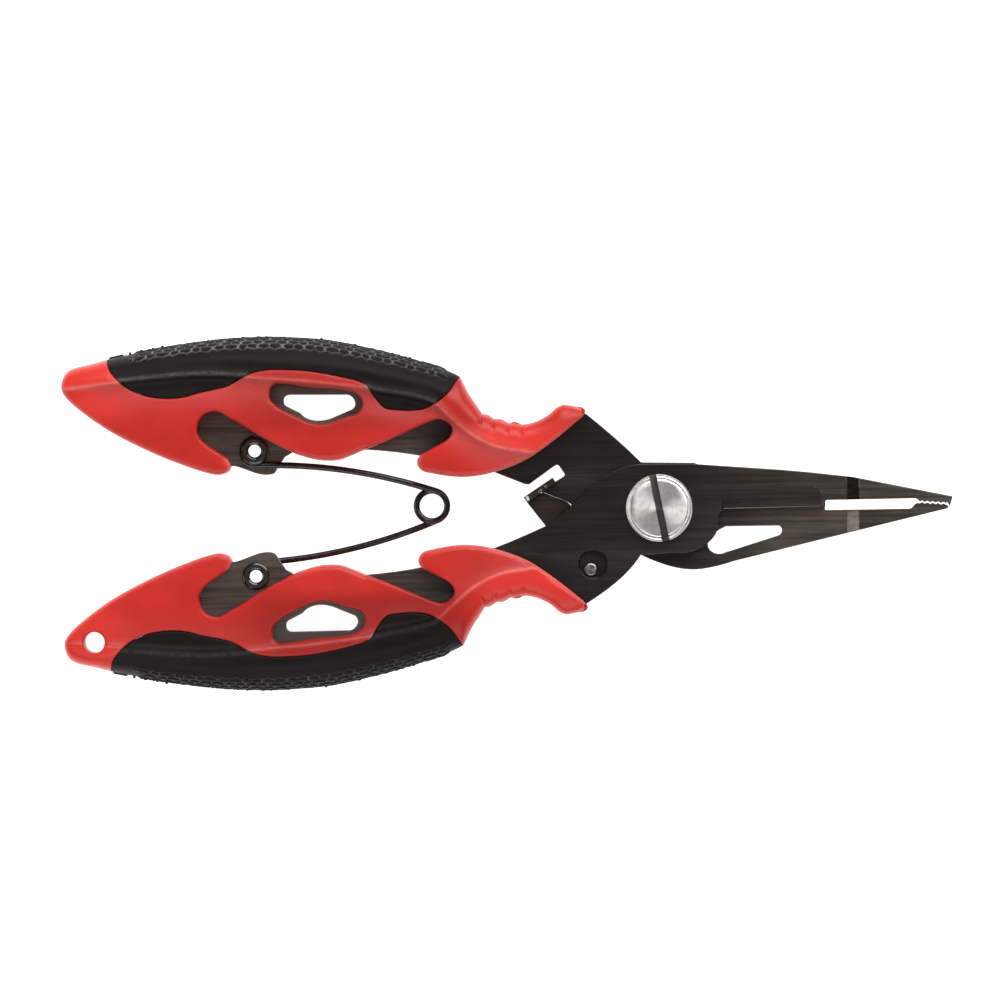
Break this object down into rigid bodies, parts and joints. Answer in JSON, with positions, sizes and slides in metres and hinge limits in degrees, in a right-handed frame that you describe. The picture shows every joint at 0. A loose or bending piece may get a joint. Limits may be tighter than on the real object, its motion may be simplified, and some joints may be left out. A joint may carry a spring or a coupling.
{
  "type": "fishing pliers",
  "caption": "Pocket fishing pliers with long scissor-cutting jaws, split-ring tooth, locking lever, wire return spring and two-tone moulded handles.",
  "frame": {"origin": "under the middle of the overall length and width, on the plane of the handles' flat backs", "axes": "+X along the tool to the jaw tips, +Y towards the upper handle, +Z out of the front face, on which the pivot screw's slotted head shows"},
  "size_m": [0.1251, 0.0494, 0.01],
  "materials": {
    "steel_dark": "dark bronze plated, brushed lengthwise, satin",
    "screw_bright": "bright turned stainless, satin",
    "spring_black": "black oxide wire, semi-gloss",
    "eyelet_black": "black lacquer, gloss",
    "plastic_red": "moulded hard plastic, semi-gloss",
    "rubber_black": "soft overmoulded rubber, fine scale texture on the outer edge"
  },
  "bodies": {
    "front_half": {"front_arm": "steel_dark", "lower_handle_shell": "plastic_red", "lower_grip": "rubber_black", "lower_eyelet": "eyelet_black", "pivot_screw": "screw_bright", "pivot_washer": "screw_bright", "pivot_nut": "screw_bright", "lock_rivet": "screw_bright", "lock_washer": "screw_bright"},
    "back_half": {"back_arm": "steel_dark", "upper_handle_shell": "plastic_red", "upper_grip": "rubber_black", "upper_eyelet": "eyelet_black"},
    "lever": {"lock_lever": "steel_dark"},
    "spring_lower": {"spring_lower_leg": "spring_black"},
    "spring_upper": {"spring_upper_leg": "spring_black"}
  },
  "joints": [
    {"name": "arm_pivot", "type": "hinge", "parent": "front_half", "child": "back_half", "pos_m": [0.02125, 0.00005, 0.005], "axis": [0, 0, -1], "range_deg": [0, 18]},
    {"name": "lever_pivot", "type": "hinge", "parent": "front_half", "child": "lever", "pos_m": [0.01155, -0.00845, 0.005], "axis": [0, 0, 1], "range_deg": [0, 30]},
    {"name": "spring_eyelet", "type": "hinge", "parent": "front_half", "child": "spring_lower", "pos_m": [-0.03545, -0.0088, 0.005], "axis": [0, 0, 1], "range_deg": [0, 13]},
    {"name": "spring_coil", "type": "hinge", "parent": "spring_lower", "child": "spring_upper", "pos_m": [-0.01065, 0.00075, 0.005], "axis": [0, 0, -1], "range_deg": [0, 45]}
  ],
  "couplings": [
    {"joint": "spring_eyelet", "follows": "arm_pivot", "ratio": 0.7074},
    {"joint": "spring_coil", "follows": "arm_pivot", "ratio": 2.4758}
  ]
}
